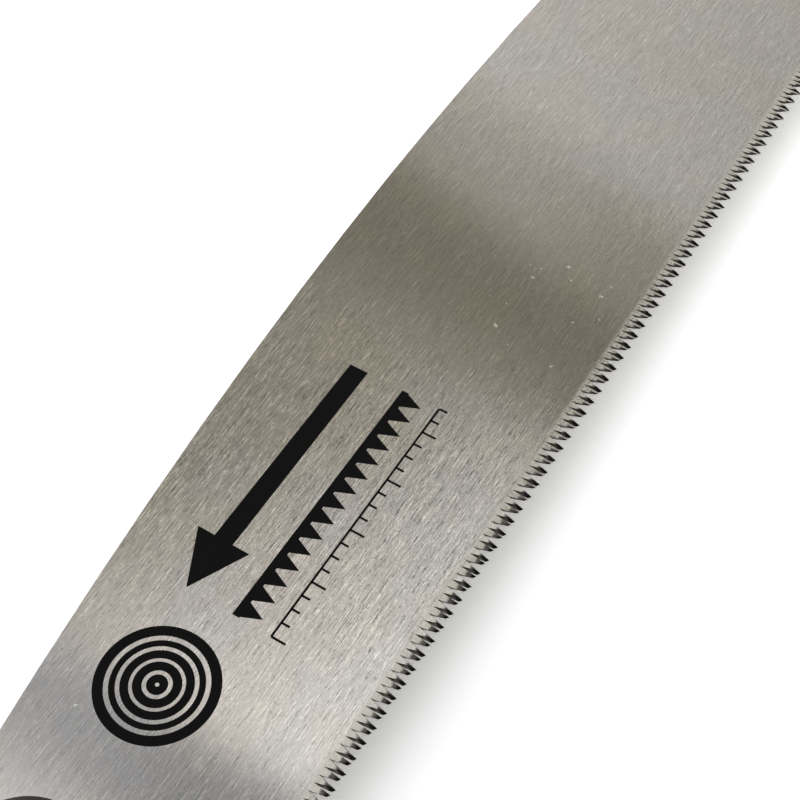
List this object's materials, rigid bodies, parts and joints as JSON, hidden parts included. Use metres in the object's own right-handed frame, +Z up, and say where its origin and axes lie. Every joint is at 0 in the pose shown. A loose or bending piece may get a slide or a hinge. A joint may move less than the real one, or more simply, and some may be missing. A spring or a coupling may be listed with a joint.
{
  "type": "folding saw",
  "caption": "Folding pull saw: a fine cross-cut blade on a friction pivot turns into a slotted two-part handle, held open or shut by a sprung rocker lever.",
  "frame": {"origin": "middle of the open saw's footprint, on the surface that the saw lies on", "axes": "+X from the handle to the toe of the blade, +Y to the back of the blade, +Z up, square to the flat of the blade"},
  "size_m": [0.5639, 0.052, 0.0226],
  "materials": {
    "blade_steel": "bright spring steel, fine grain along the blade, dark hardened teeth",
    "liner_steel": "satin steel sheet",
    "scale_plastic": "fine spark-eroded black moulding",
    "grip_rubber": "matt elastomer",
    "spacer_plastic": "plain black moulding",
    "bumper_rubber": "soft black rubber",
    "black_steel": "black oxide",
    "bush_bronze": "sintered bronze",
    "washer_plastic": "unfilled nylon",
    "spring_steel": "tempered spring steel",
    "pin_steel": "ground steel",
    "lever_steel": "stamped steel, satin",
    "pad_plastic": "matt black moulding",
    "eyelet_metal": "bright rolled eyelet",
    "print_ink": "thin black screen print on the blade"
  },
  "bodies": {
    "handle": {"upper_liner": "liner_steel", "lower_liner": "liner_steel", "upper_scale": "scale_plastic", "lower_scale": "scale_plastic", "upper_grip": "grip_rubber", "lower_grip": "grip_rubber", "spine_spacer": "spacer_plastic", "front_spacer": "spacer_plastic", "butt_spacer": "spacer_plastic", "toe_bumper": "bumper_rubber", "pivot_bolt": "black_steel", "pivot_nut": "black_steel", "pivot_bush": "bush_bronze", "pivot_washers": "washer_plastic", "spring_washer": "spring_steel", "stop_pin": "pin_steel", "lever_pin": "pin_steel", "lock_spring": "spring_steel", "body_screws": "black_steel", "body_nuts": "black_steel", "hang_eyelet": "eyelet_metal"},
    "blade": {"blade": "blade_steel"},
    "lever": {"lock_lever": "lever_steel", "lever_pad": "pad_plastic"}
  },
  "joints": [
    {"name": "blade_fold", "type": "hinge", "parent": "handle", "child": "blade", "pos_m": [0.012, -0.00665, 0.0113], "axis": [0, 0, -1], "range_deg": [0, 180]},
    {"name": "lock_release", "type": "hinge", "parent": "handle", "child": "lever", "pos_m": [-0.028, 0.01815, 0.0113], "axis": [0, 0, -1], "range_deg": [0, 3.3], "stiffness_Nm_per_rad": 0.5, "springref_deg": 6.88}
  ]
}
